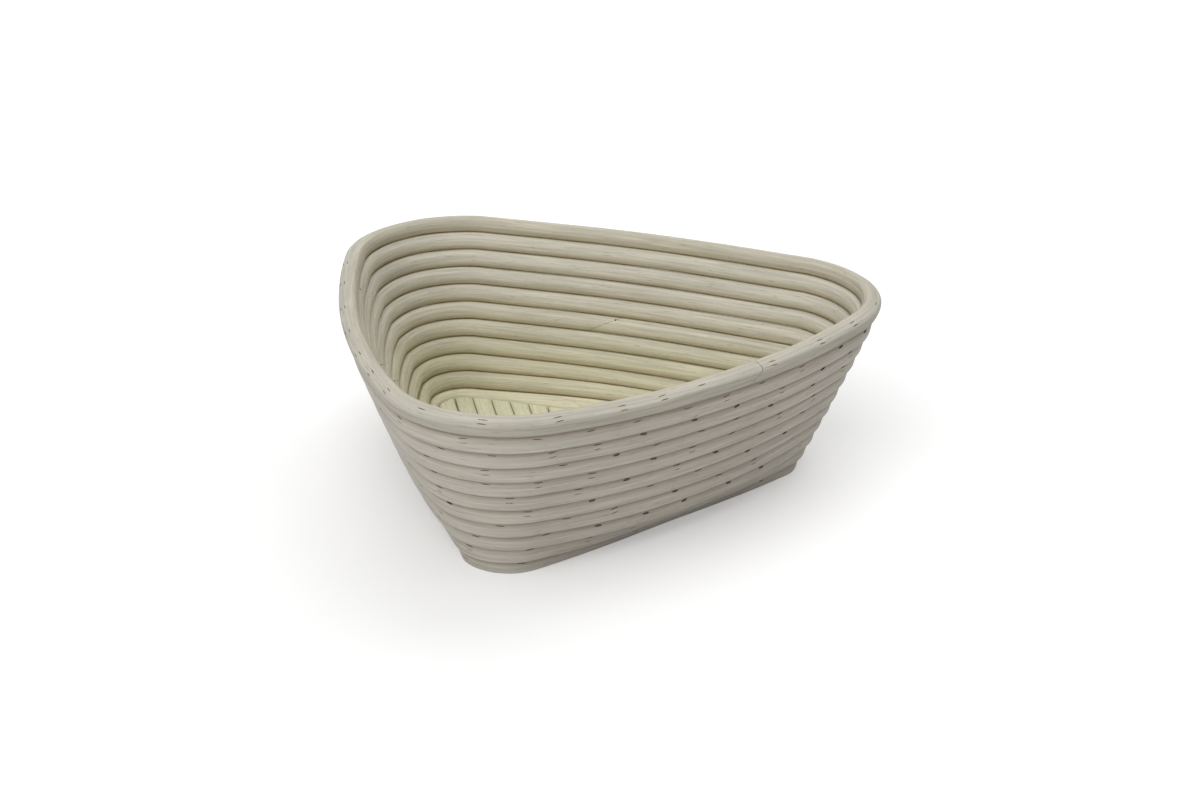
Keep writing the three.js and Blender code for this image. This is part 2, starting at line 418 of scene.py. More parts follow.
def trim(bm: bmesh.types.BMesh, point: Vector, outwards: Vector) -> None:
    """Cuts away what lies beyond a plane, and closes the cut.

    Args:
        bm: The closed shape that is cut.
        point: A point of the plane.
        outwards: The side that is cut away.
    """
    everything = [*bm.verts, *bm.edges, *bm.faces]
    cut = bmesh.ops.bisect_plane(bm, geom=everything, plane_co=point, plane_no=outwards, clear_outer=True)
    rims = [part for part in cut["geom_cut"] if isinstance(part, bmesh.types.BMEdge)]
    bmesh.ops.holes_fill(bm, edges=rims, sides=0)


def shade_smooth(piece: bpy.types.Object, sharp_angle: float) -> None:
    """Shades an object smooth, apart from edges sharper than an angle."""
    piece.data.shade_smooth()
    piece.data.set_sharp_from_angle(angle=sharp_angle)


@dataclass(frozen=True)
class Bulge:
    """A stretch just past one corner where the middle rows were bent less sharply and lie further out."""

    start: float = 1.4
    top: float = 1.56
    end: float = 1.82
    reach: float = 2.0 * MM

    def out(self, height_share: float, place: float) -> float:
        """How far out the cane lies.

        Args:
            height_share: Share of the wall's height, from the base to the rim.
            place: Place round the hoop, in thirds of a turn.

        Returns:
            The distance, which fades towards the base and the rim.
        """
        spot = place % SIDES
        span = self.top - self.start if spot < self.top else self.end - self.top
        share = max(0.0, 1 - abs(spot - self.top) / span)
        return self.reach * math.sin(math.pi * height_share) * (1 - math.cos(math.pi * share)) / 2


@dataclass
class Hoop:
    """One cane bent round into a hoop, with its two ends scarfed together."""

    row: int
    wall: Wall
    scarf: Scarf
    section: CaneSection
    bulge: Bulge = Bulge()
    corner_steps: int = 22
    side_steps: int = 38
    waver: float = 0.22 * MM
    waver_rate: float = 5.0
    least_step: float = 0.1
    grid_half: float = 0.5
    merge: float = 0.001 * MM
    sharp_angle: float = math.radians(38)
    run_offset: float = 3.7
    cut_material: int = 1

    @property
    def rows_below_rim(self) -> int:
        """Rows from the rim down to this one."""
        return self.wall.row_count - 1 - self.row

    @property
    def node(self) -> str:
        """The name of the solid that this hoop stands for."""
        if self.row == 0:
            return "base_hoop"
        return "rim_hoop" if self.rows_below_rim == 0 else f"wall_hoop_{self.row:02d}"

    @cached_property
    def places(self) -> list[float]:
        """The places of the cross-sections, from end to end of the cane, none too close to an end."""
        start = self.scarf.place(self.rows_below_rim)
        end = start + SIDES
        steps = []
        for third in range(math.ceil(end)):
            steps += [third + 0.5 * step / self.corner_steps for step in range(self.corner_steps)]
            steps += [third + 0.5 + 0.5 * step / self.side_steps for step in range(self.side_steps)]
        least = self.least_step / self.side_steps
        return [start, *(step for step in steps if start + least < step < end - least), end]

    @cached_property
    def stations(self) -> list[Station]:
        """The cross-sections, from one end of the cane to the other."""
        return [self.wavered(self.wall.station(self.row, place), place) for place in self.places]

    @cached_property
    def lengths(self) -> list[float]:
        """The length of cane up to each cross-section."""
        lengths = [0.0]
        for before, after in zip(self.stations, self.stations[1:]):
            lengths.append(lengths[-1] + (after.centre - before.centre).length)
        return lengths

    def wavered(self, station: Station, place: float) -> Station:
        """Moves a cross-section a little in or out, as hand-bent cane lies.

        Args:
            station: The true cross-section.
            place: Its place round the hoop.

        Returns:
            The cross-section as it lies.
        """
        angle = THIRD * place
        probe = Vector((math.cos(angle), math.sin(angle), 0.0)) * self.waver_rate
        probe.z = self.run_offset * self.row
        out = self.waver * noise.noise(probe) + self.bulge.out(self.row / (self.wall.row_count - 1), place)
        return replace(station, centre=station.centre + station.normal * out)

    def place_at(self, length: float) -> float:
        """Finds the place that lies a length along the cane from its start."""
        at = min(max(bisect_right(self.lengths, length), 1), len(self.lengths) - 1)
        span = self.lengths[at] - self.lengths[at - 1]
        return lerp(self.places[at - 1], self.places[at], (length - self.lengths[at - 1]) / span)

    def surface(self, length: float, turn: float) -> Matrix:
        """Finds the hoop's surface, for what is cut or driven into it.

        Args:
            length: Length along the cane from its start.
            turn: Turns round the section.

        Returns:
            A matrix whose X runs along the hoop, Y up the section's face and Z out of it.
        """
        place = self.place_at(length)
        station = self.wavered(self.wall.station(self.row, place), place)
        point = station.place(*self.section.spot(turn), self.section.height)
        step = 0.5 / self.section.segments
        ahead = station.place(*self.section.spot(turn + step), self.section.height)
        behind = station.place(*self.section.spot(turn - step), self.section.height)
        rise = (ahead - behind).normalized()
        along = station.along
        out = along.cross(rise)
        return Matrix.Translation(point) @ Matrix((along, rise, out)).transposed().to_4x4()

    def scarf_spot(self, turn: float) -> Matrix:
        """The surface of the hoop where its scarf crosses a turn of the section, as surface() gives it."""
        _, y = self.section.spot(turn)
        shift = self.scarf.slant(self.rows_below_rim) * y
        return self.surface(shift if shift > 0 else self.lengths[-1] + shift, turn)

    def skin(self) -> bmesh.types.BMesh:
        """Rolls a grid into the bent cane.

        Returns:
            A closed shape with the maps of the run along the cane and of the turn round it.
        """
        bm = bmesh.new()
        run = bm.loops.layers.uv.new(RUN_MAP)
        turn = bm.loops.layers.uv.new(TURN_MAP)
        along, around = len(self.stations) - 1, self.section.segments
        bmesh.ops.create_grid(bm, x_segments=along, y_segments=around, size=self.grid_half, calc_uvs=False)
        total = self.lengths[-1]
        spots = {}
        for vert in bm.verts:
            index = round((vert.co.x + self.grid_half) * along)
            step = round((vert.co.y + self.grid_half) * around)
            x, y = self.section.spot(step / around)
            done = self.lengths[index]
            shift = self.scarf.shift(self.rows_below_rim, y, done, total - done)
            station = self.stations[index]
            vert.co = station.place(x, y, self.section.height) + station.along * shift
            spots[vert] = (done + shift, step)
        for face in bm.faces:
            for loop in face.loops:
                length, step = spots[loop.vert]
                loop[run].uv = (length + self.run_offset * self.row, self.section.girths[step])
                loop[turn].uv = (step / around, length / total)
        bmesh.ops.remove_doubles(bm, verts=bm.verts, dist=self.merge)
        for cap in bmesh.ops.holes_fill(bm, edges=bm.edges, sides=0)["faces"]:
            cap.material_index = self.cut_material
            for loop in cap.loops:
                beside = next(other for other in loop.vert.link_loops if other.face is not cap)
                loop[run].uv = beside[run].uv
                loop[turn].uv = beside[turn].uv
        bmesh.ops.recalc_face_normals(bm, faces=bm.faces)
        return bm

    def build(self, cane: bpy.types.Material, cut: bpy.types.Material) -> bpy.types.Object:
        """Makes the hoop.

        Args:
            cane: Its finish.
            cut: The finish of its two cut ends.

        Returns:
            The finished object, which stands for its solid.
        """
        bm = self.skin()
        if self.row == 0:
            trim(bm, Vector(), DOWN)
            bmesh.ops.recalc_face_normals(bm, faces=bm.faces)
        piece = new_object(f"cane_{self.node}", bm, cane, cut)
        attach(piece, BODY)
        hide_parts(self.node)
        return piece

    def finish(self, piece: bpy.types.Object) -> None:
        """Shades the hoop once nothing more is cut from it."""
        shade_smooth(piece, self.sharp_angle)


@dataclass(frozen=True)
class StapleSpot:
    """One staple: where it was driven in, how it shows and how far it is skewed."""

    length: float
    turn: float
    look: StapleLook
    skew: float


@dataclass
class StapleRow:
    """The steel staples that hold one hoop to its neighbour."""

    hoop: Hoop
    turn: float
    scarf_room: float = 9 * MM
    least_pitch: float = 20 * MM
    most_pitch: float = 33 * MM
    turn_spread: float = 0.01
    crown: float = 4.4 * MM
    wire: float = 0.45 * MM
    leg: float = 3.4 * MM
    sunk: float = 0.7 * MM
    open_slit: Size = (4.3 * MM, 1.3 * MM, 1.2 * MM)
    thin_slit: Size = (5.2 * MM, 0.52 * MM, 0.7 * MM)
    nail: Size = (1.2 * MM, 1.0 * MM, 1.5 * MM)
    nail_turn: float = 0.64
    pair_gap: float = 2.1 * MM
    slit_sides: int = 10
    slit_foot: float = 0.35
    slit_mouth: float = 0.5
    slit_span: float = 2.0
    open_side: int = 2
    open_from: float = 0.12
    open_looks: tuple[StapleLook, ...] = (*[StapleLook.OPEN] * 4, *[StapleLook.FAINT] * 2, StapleLook.PAIR)
    closed_looks: tuple[StapleLook, ...] = (StapleLook.OPEN, *[StapleLook.FAINT] * 6, *[StapleLook.PAIR] * 8)
    most_skew: float = math.radians(7)
    seed: int = 41

    @cached_property
    def spots(self) -> list[StapleSpot]:
        """The staples of this row, at a hand's uneven spacing."""
        draw = random.Random(self.seed + self.hoop.row)
        total = self.hoop.lengths[-1]
        spots = []
        length = self.scarf_room + draw.uniform(0, self.scarf_room)
        while length < total - self.scarf_room:
            turn = self.turn + draw.uniform(-self.turn_spread, self.turn_spread)
            skew = draw.uniform(-self.most_skew, self.most_skew)
            spots.append(StapleSpot(length, turn, draw.choice(self.looks_at(length)), skew))
            length += draw.uniform(self.least_pitch, self.most_pitch)
        return spots

    def looks_at(self, length: float) -> tuple[StapleLook, ...]:
        """The looks to choose from at a length along the hoop: on one side of the wall most staples gape."""
        third, arc, share = Wall.parts_of(self.hoop.place_at(length))
        on_side = arc is Arc.SIDE and third % SIDES == self.open_side and share > self.open_from
        return self.open_looks if on_side and self.hoop.rows_below_rim > 0 else self.closed_looks

    def seat(self, spot: StapleSpot) -> Matrix:
        """The surface that a staple was driven into, turned by its skew."""
        return self.hoop.surface(spot.length, spot.turn) @ Matrix.Rotation(spot.skew, 4, "Z")

    def add_slit(self, bm: bmesh.types.BMesh, seat: Matrix, size: Size, torn: Torn) -> None:
        """Adds one cutter across the surface, narrower at its foot.

        Args:
            bm: The cutters so far.
            seat: Matrix of the surface that is cut.
            size: Length, width and depth of the slit.
            torn: The finish inside it.
        """
        length, width, depth = size
        cone = bmesh.ops.create_cone(bm, cap_ends=True, segments=self.slit_sides, radius1=self.slit_foot,
                                     radius2=self.slit_mouth, depth=self.slit_span)["verts"]
        place = seat @ Matrix.Diagonal((length, width, depth, 1.0))
        bmesh.ops.transform(bm, matrix=place, verts=cone)
        for face in {face for vert in cone for face in vert.link_faces}:
            face.material_index = torn.value

    def cutters(self, *torn: bpy.types.Material) -> bpy.types.Object:
        """Makes the cutters of all the slits of this row, and of the nail through its scarf.

        Args:
            torn: The finishes of the torn cane inside the cuts, in the order of Torn.

        Returns:
            One object of many closed shapes.
        """
        bm = bmesh.new()
        for spot in self.spots:
            seat = self.seat(spot)
            if spot.look is StapleLook.OPEN:
                self.add_slit(bm, seat, self.open_slit, Torn.DEEP)
                continue
            self.add_slit(bm, seat, self.thin_slit, Torn.SHALLOW)
            if spot.look is StapleLook.PAIR:
                under = seat @ Matrix.Translation((0, -self.pair_gap, 0))
                self.add_slit(bm, under, self.thin_slit, Torn.SHALLOW)
        self.add_slit(bm, self.hoop.scarf_spot(self.nail_turn), self.nail, Torn.DEEP)
        return new_object(f"slits_row_{self.hoop.row:02d}", bm, *torn)

    def add_wire(self, bm: bmesh.types.BMesh, seat: Matrix) -> None:
        """Adds one staple: a square wire bent down at both ends of its crown, mitred at the bends.

        Args:
            bm: The staples so far.
            seat: Matrix of the surface that it is sunk into.
        """
        half = self.crown / 2
        bends = [(-half, -self.leg), (-half, 0.0), (half, 0.0), (half, -self.leg)]
        tip = bmesh.ops.create_grid(bm, x_segments=1, y_segments=1, size=self.wire / 2)["verts"]
        face = tip[0].link_faces[0]
        base = [vert.co.copy() for vert in face.verts]
        for index, (x, z) in enumerate(bends):
            if index:
                inside = face
                grown = bmesh.ops.extrude_face_region(bm, geom=[face])["geom"]
                face = next(part for part in grown if isinstance(part, bmesh.types.BMFace))
                if index > 1:
                    bmesh.ops.delete(bm, geom=[inside], context="FACES_ONLY")
            turned = math.copysign(1.0, -x)
            for vert, corner in zip(face.verts, base):
                mitre = -corner.x if z == 0.0 else 0.0
                vert.co = seat @ Vector((x + turned * corner.x, corner.y, z - self.sunk + mitre))

    def build(self, steel: bpy.types.Material) -> bpy.types.Object:
        """Makes the staples of this row as one piece.

        Args:
            steel: Their finish.

        Returns:
            The finished object.
        """
        bm = bmesh.new()
        for spot in self.spots:
            self.add_wire(bm, self.seat(spot))
        bmesh.ops.recalc_face_normals(bm, faces=bm.faces)
        piece = new_object(f"staples_row_{self.hoop.row:02d}", bm, steel)
        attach(piece, BODY)
        return piece


@dataclass
class Floor:
    """The floor of straight cane slats inside the base hoop."""

    wall: Wall
    section: CaneSection
    top_round: float = 0.35 * MM
    round_segments: int = 3
    end_cuts: int = 5
    clearance: float = 0.3 * MM
    narrowing: float = 0.2 * MM
    settling: float = 0.2 * MM
    skew: float = math.radians(0.12)
    tilt: float = math.radians(1.3)
    outline_steps: int = 240
    outline_places: Range = (0.25, 1.75)
    spare: float = 1.1
    grain_shift: float = 40.0
    top_turn: float = 0.75
    under_turn: float = 0.25
    turn_span: float = 0.5
    map_middle: float = 0.5
    seed: int = 7
    sharp_angle: float = math.radians(50)

    @property
    def nodes(self) -> list[str]:
        """The names of the slats' solids, in order."""
        return sorted(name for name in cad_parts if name.startswith("floor_slat_"))

    @cached_property
    def outline(self) -> list[Vector]:
        """Half of the outline that the slats fill, from the +X corner round to the middle of the far side."""
        points = []
        spots = [self.section.spot(step / self.section.segments) for step in range(self.section.segments)]
        for step in range(self.outline_steps + 1):
            station = self.wall.station(0, lerp(*self.outline_places, step / self.outline_steps))
            reach = min(station.place(*spot, self.section.height).dot(station.normal) for spot in spots)
            inwards = station.centre.dot(station.normal) - reach + self.clearance
            points.append(station.centre - station.normal * inwards)
        return points

    def half_length(self, x: float) -> float:
        """Finds how far the floor reaches along Y at a distance x.

        Args:
            x: Distance from the axis of the triangle.

        Returns:
            The half length of the floor there.
        """
        best = 0.0
        for before, after in zip(self.outline, self.outline[1:]):
            if min(before.x, after.x) <= x <= max(before.x, after.x):
                share = (x - before.x) / ((after.x - before.x) or 1.0)
                best = max(best, lerp(before.y, after.y, share))
        return best

    def slat(self, node: str, draw: random.Random) -> bmesh.types.BMesh:
        """Shapes one slat in the space of its solid.

        Args:
            node: Name of its solid.
            draw: Source of the small differences between slats.

        Returns:
            The slat's shape, with its maps.
        """
        low, high = (Vector(corner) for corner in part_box(node))
        size, middle = high - low, (low + high) / 2
        width = size.x - draw.uniform(0, self.narrowing)
        bm = bmesh.new()
        bmesh.ops.create_cube(bm, size=1.0)
        bmesh.ops.scale(bm, vec=(width, size.y * self.spare, size.z), verts=bm.verts)
        top = [edge for edge in bm.edges if all(vert.co.z > 0 for vert in edge.verts)]
        long_top = [edge for edge in top if abs(edge.verts[0].co.y - edge.verts[1].co.y) > size.y / 2]
        bmesh.ops.bevel(bm, geom=long_top, offset=self.top_round, offset_type="OFFSET", affect="EDGES",
                        segments=self.round_segments, profile=0.5, material=-1)
        lean = Matrix.Rotation(draw.uniform(-self.tilt, self.tilt), 4, "Y")
        turned = Matrix.Rotation(draw.uniform(-self.skew, self.skew), 4, "Z")
        sunk = middle - Vector((0.0, 0.0, draw.uniform(0, self.settling)))
        bmesh.ops.transform(bm, matrix=Matrix.Translation(sunk) @ turned @ lean, verts=bm.verts)
        self.cut_ends(bm, low.x, high.x)
        trim(bm, Vector(), DOWN)
        bmesh.ops.recalc_face_normals(bm, faces=bm.faces)
        self.lay_maps(bm, middle, size)
        return bm

    def cut_ends(self, bm: bmesh.types.BMesh, left: float, right: float) -> None:
        """Cuts both ends of a slat along the inner face of the base hoop, which bows out, in short chords.

        Args:
            bm: The slat in the frame.
            left: Least distance along X.
            right: Greatest distance along X.
        """
        xs = [lerp(left, right, step / self.end_cuts) for step in range(self.end_cuts + 1)]
        for before, after in zip(xs, xs[1:]):
            start = Vector((before, self.half_length(before), 0.0))
            run = Vector((after, self.half_length(after), 0.0)) - start
            for sign in (1.0, -1.0):
                trim(bm, Vector((start.x, sign * start.y, 0.0)), Vector((-run.y, sign * run.x, 0.0)))

    def lay_maps(self, bm: bmesh.types.BMesh, middle: Vector, size: Vector) -> None:
        """Lays the maps over a slat, as if it were a flat piece of cane.

        Args:
            bm: The slat in the frame.
            middle: Middle of its solid.
            size: Size of its solid.
        """
        run = bm.loops.layers.uv.new(RUN_MAP)
        turn = bm.loops.layers.uv.new(TURN_MAP)
        for face in bm.faces:
            for loop in face.loops:
                place = loop.vert.co
                across = self.turn_span * (place.x - middle.x) / size.x
                turns = self.top_turn + across if place.z > middle.z else self.under_turn - across
                loop[run].uv = (place.y + middle.x * self.grain_shift, place.x)
                loop[turn].uv = (turns, self.map_middle)

    def build(self, cane: bpy.types.Material) -> list[bpy.types.Object]:
        """Makes all the slats.

        Args:
            cane: Their finish.

        Returns:
            The finished objects, each standing for its solid.
        """
        draw = random.Random(self.seed)
        made = []
        for node in self.nodes:
            piece = new_object(f"cane_{node}", self.slat(node, draw), cane)
            shade_smooth(piece, self.sharp_angle)
            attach(piece, BODY)
            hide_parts(node)
            made.append(piece)
        return made


class NodeSheet:
    """Adds nodes to one shader tree and joins them up."""

    def __init__(self, tree: bpy.types.NodeTree) -> None:
        """Starts on a tree.

        Args:
            tree: The tree that the nodes go into.
        """
        self.tree = tree

    def add(self, kind: str, **settings: object) -> bpy.types.Node:
        """Adds a node of a kind and sets its properties."""
        node = self.tree.nodes.new(kind)
        for name, value in settings.items():
            setattr(node, name, value)
        return node

    def feed(self, socket: bpy.types.NodeSocket, value: object) -> None:
        """Links an output to a socket, or sets the socket to a plain value."""
        if isinstance(value, bpy.types.NodeSocket):
            self.tree.links.new(value, socket)
        else:
            socket.default_value = value

    def math(self, operation: str, *values: object, clamp: bool = False) -> bpy.types.NodeSocket:
        """Adds a Math node and returns its output."""
        node = self.add("ShaderNodeMath", operation=operation, use_clamp=clamp)
        for socket, value in zip(node.inputs, values):
            self.feed(socket, value)
        return node.outputs[0]

    def ramp(self, value: object, low: float, high: float, start: float = 0.0, end: float = 1.0
             ) -> bpy.types.NodeSocket:
        """Adds a smooth Map Range node from low and high to start and end, and returns its output."""
        node = self.add("ShaderNodeMapRange", interpolation_type="SMOOTHSTEP")
        for socket, part in zip(node.inputs, (value, low, high, start, end)):
            self.feed(socket, part)
        return node.outputs[0]

    def mix(self, share: object, first: object, second: object, blend: str = "MIX") -> bpy.types.NodeSocket:
        """Adds a colour Mix node and returns its output."""
        node = self.add("ShaderNodeMix", data_type="RGBA", blend_type=blend)
        self.feed(node.inputs["Factor"], share)
        self.feed(next(s for s in node.inputs if s.identifier == "A_Color"), first)
        self.feed(next(s for s in node.inputs if s.identifier == "B_Color"), second)
        return next(s for s in node.outputs if s.identifier == "Result_Color")

    def noise(self, vector: object, scale: float, detail: float = 2.0) -> bpy.types.NodeSocket:
        """Adds a Noise node and returns its value."""
        node = self.add("ShaderNodeTexNoise")
        self.feed(node.inputs["Vector"], vector)
        node.inputs["Scale"].default_value = scale
        node.inputs["Detail"].default_value = detail
        return node.outputs["Fac"]

    def stretched(self, vector: object, along: float, across: float) -> bpy.types.NodeSocket:
        """Scales a map by one rate along the cane and another across it."""
        node = self.add("ShaderNodeMapping")
        self.feed(node.inputs["Vector"], vector)
        node.inputs["Scale"].default_value = (along, across, 1.0)
        return node.outputs[0]


def start_material(name: str) -> tuple[bpy.types.Material, NodeSheet, bpy.types.Node]:
    """Starts a material.

    Args:
        name: Its name.

    Returns:
        The material, the sheet of its nodes and its surface shader.
    """
    made = bpy.data.materials.new(name)
    made.use_nodes = True
    return made, NodeSheet(made.node_tree), made.node_tree.nodes["Principled BSDF"]


@dataclass(frozen=True)
class Grain:
    """Noise that is stretched along the cane, by its rates per metre along and across it."""

    along: float
    across: float
    detail: float = 2.0

    def add(self, sheet: NodeSheet, run: bpy.types.NodeSocket) -> bpy.types.NodeSocket:
        """Adds the noise to a sheet.

        Args:
            sheet: The sheet.
            run: The run along the cane.

        Returns:
            The noise's value.
        """
        return sheet.noise(sheet.stretched(run, self.along, self.across), 1.0, self.detail)


@dataclass(frozen=True)
class CaneEffects:
    """The node groups that every cane finish shares, each built once."""

    broad: Grain = Grain(22.0, 750.0)
    broad_share: float = 0.6
    fine: Grain = Grain(60.0, 2100.0)
    fine_share: float = 0.4
    pore: Grain = Grain(150.0, 1900.0, 1.0)
    pore_range: Range = (0.64, 0.75)
    pore_depth: float = 0.5
    tone: Grain = Grain(14.0, 60.0)
    crease_shade_range: Range = (0.84, 1.0)
    inner_range: Range = (-0.5, 0.6)
    shade_range: Range = (0.05, -0.62)
    underside_shade_range: Range = (0.2, 0.95)

    @staticmethod
    def start(name: str, source: str, *results: str
              ) -> tuple[NodeSheet, bpy.types.NodeSocket, bpy.types.Node]:
        """Starts a node group.

        Args:
            name: Its name.
            source: Name of its one input, a vector.
            results: Names of its outputs, all values.

        Returns:
            The sheet of its nodes, the input and the node of the outputs.
        """
        group = bpy.data.node_groups.new(name, "ShaderNodeTree")
        group.interface.new_socket(source, in_out="INPUT", socket_type="NodeSocketVector")
        for result in results:
            group.interface.new_socket(result, in_out="OUTPUT", socket_type="NodeSocketFloat")
        sheet = NodeSheet(group)
        return sheet, sheet.add("NodeGroupInput").outputs[source], sheet.add("NodeGroupOutput")

    @cached_property
    def fibre(self) -> bpy.types.NodeTree:
        """The grain of peeled cane: long fibres, short open pores and slow changes of tone.

        The group goes from the run along the cane to Fibre, Pores, Tone and Height.
        """
        sheet, run, out = self.start("cane_fibre", "Run", "Fibre", "Pores", "Tone", "Height")
        fine = sheet.math("MULTIPLY", self.fine.add(sheet, run), self.fine_share)
        fibre = sheet.math("MULTIPLY_ADD", self.broad.add(sheet, run), self.broad_share, fine)
        pores = sheet.ramp(self.pore.add(sheet, run), *self.pore_range)
        sunk = sheet.math("MULTIPLY", pores, self.pore_depth)
        sheet.feed(out.inputs["Fibre"], fibre)
        sheet.feed(out.inputs["Pores"], pores)
        sheet.feed(out.inputs["Tone"], self.tone.add(sheet, run))
        sheet.feed(out.inputs["Height"], sheet.math("SUBTRACT", fibre, sunk))
        return sheet.tree

    @cached_property
    def seats(self) -> bpy.types.NodeTree:
        """The masks of the places round a cane's section.

        The group goes from the turn round the cane to Lower and Upper, beside the seats, where painted crease
        shade goes, Inner, on the inside, Shade, on the upper part of the outside, for painted shade under the
        cane above, and a last mask, on the lower part of the inside, for painted shade where the cane faces
        down.
        """
        lower, upper = Seat.LOWER.value, Seat.UPPER.value
        sheet, turn, out = self.start("cane_seats", "Turn", lower, upper, "Inner", "Shade", "UndersideShade")
        split = sheet.add("ShaderNodeSeparateXYZ")
        sheet.feed(split.inputs[0], turn)
        angle = sheet.math("MULTIPLY", split.outputs["X"], math.tau)
        downward = sheet.math("COSINE", angle)
        upward = sheet.math("MULTIPLY", downward, -1.0)
        inward = sheet.math("MULTIPLY", sheet.math("SINE", angle), -1.0)
        inner = sheet.ramp(inward, *self.inner_range)
        # Masks of painted shade: under the cane above on the outside, and where the cane faces down on the
        # inside.
        shade = sheet.ramp(downward, *self.shade_range)
        underside_shade = sheet.ramp(downward, *self.underside_shade_range)
        # Beside the seats: the masks of painted crease shade.
        sheet.feed(out.inputs[lower], sheet.ramp(downward, *self.crease_shade_range))
        sheet.feed(out.inputs[upper], sheet.ramp(upward, *self.crease_shade_range))
        sheet.feed(out.inputs["Inner"], inner)
        sheet.feed(out.inputs["Shade"], sheet.math("MULTIPLY", shade, sheet.math("SUBTRACT", 1.0, inner)))
        sheet.feed(out.inputs["UndersideShade"], sheet.math("MULTIPLY", underside_shade, inner))
        return sheet.tree


@dataclass(frozen=True)
class CaneFinish:
    """A finish of peeled, unvarnished cane, with painted shade in its creases, under the cane above and where
    it faces down. Its inside may turn yellower towards the table, as painted bounce light deep in the basket.
    """

    name: str
    outer: Colour
    inner: Colour
    # The colour of the inside near the table: painted bounce light, yellower deep in the basket.
    deep_bounce_tint: Colour | None = None
    deep_bounce_heights: Range = (15 * MM, 65 * MM)
    # Painted shade on the cane beside each seat, in the crease where it meets the next cane.
    crease_shade: Colour = (144, 123, 82)
    crease_shade_share: float = 0.65
    crease_shaded: tuple[Seat, ...] = (Seat.LOWER, Seat.UPPER)
    # Painted shade on the top of each cane's outside, under the overhang of the cane above.
    overhang_shade: Colour = (158, 140, 125)
    overhang_shade_share: float = 0.42
    # Painted shade, yellow-brown like light bounced between canes, on the lower part of each cane's inside,
    # where it faces down.
    underside_shade: Colour = (158, 142, 100)
    underside_shade_share: float = 0.44
    pore: Colour = (132, 117, 94)
    pore_share: float = 0.5
    fibre_contrast: float = 1.05
    tone_contrast: float = 0.3
    fibre_range: Range = (0.3, 0.7)
    roughness: Range = (0.7, 0.56)
    specular: float = 0.28
    bump: float = 0.18
    bump_distance: float = 0.15 * MM

    def material(self, effects: CaneEffects) -> bpy.types.Material:
        """Makes the material.

        Args:
            effects: The node groups of cane.

        Returns:
            The material.
        """
        made, sheet, shader = start_material(self.name)
        fibre = sheet.add("ShaderNodeGroup", node_tree=effects.fibre)
        seats = sheet.add("ShaderNodeGroup", node_tree=effects.seats)
        sheet.feed(fibre.inputs["Run"], sheet.add("ShaderNodeUVMap", uv_map=RUN_MAP).outputs[0])
        sheet.feed(seats.inputs["Turn"], sheet.add("ShaderNodeUVMap", uv_map=TURN_MAP).outputs[0])
        body = sheet.mix(seats.outputs["Inner"], linear(*self.outer), self.inside(sheet))
        body = sheet.mix(1.0, body, self.shading(sheet, fibre), "MULTIPLY")
        # The pores are the cane's own. The other tints are painted shade: under the cane above, on the inside
        # where the cane faces down, and beside the seats.
        tints = [(fibre.outputs["Pores"], self.pore_share, self.pore),
                 (seats.outputs["Shade"], self.overhang_shade_share, self.overhang_shade),
                 (seats.outputs["UndersideShade"], self.underside_shade_share, self.underside_shade)]
        tints += [(seats.outputs[seat.value], self.crease_shade_share, self.crease_shade) for seat in self.crease_shaded]
        for mask, share, colour in tints:
            body = sheet.mix(sheet.math("MULTIPLY", mask, share), body, linear(*colour))
        sheet.feed(shader.inputs["Base Color"], body)
        sheet.feed(shader.inputs["Roughness"],
                   sheet.ramp(fibre.outputs["Fibre"], *self.fibre_range, *self.roughness))
        shader.inputs["Specular IOR Level"].default_value = self.specular
        bump = sheet.add("ShaderNodeBump")
        bump.inputs["Strength"].default_value = self.bump
        bump.inputs["Distance"].default_value = self.bump_distance
        sheet.feed(bump.inputs["Height"], fibre.outputs["Height"])
        sheet.feed(shader.inputs["Normal"], bump.outputs["Normal"])
        return made

    def inside(self, sheet: NodeSheet) -> bpy.types.NodeSocket:
        """Adds the nodes for the colour of the inside, yellower lower down as painted bounce light, by height
        above the table, and returns the output.
        """
        split = sheet.add("ShaderNodeSeparateXYZ")
        sheet.feed(split.inputs[0], sheet.add("ShaderNodeTexCoord").outputs["Object"])
        height = sheet.ramp(split.outputs["Z"], *self.deep_bounce_heights)
        return sheet.mix(height, linear(*(self.deep_bounce_tint or self.inner)), linear(*self.inner))

    def shading(self, sheet: NodeSheet, fibre: bpy.types.Node) -> bpy.types.NodeSocket:
        """Adds the nodes for the lighter and darker streaks of the grain.

        Args:
            sheet: The sheet of the material.
            fibre: The node of the grain.

        Returns:
            A grey that the colour is multiplied by.
        """
        shade = 1.0
        for name, contrast in (("Tone", self.tone_contrast), ("Fibre", self.fibre_contrast)):
            off_middle = sheet.math("SUBTRACT", fibre.outputs[name], NOISE_MIDDLE)
            shade = sheet.math("MULTIPLY_ADD", off_middle, contrast, shade)
        grey = sheet.add("ShaderNodeCombineColor")
        for channel in grey.inputs:
            sheet.feed(channel, shade)
        return grey.outputs[0]


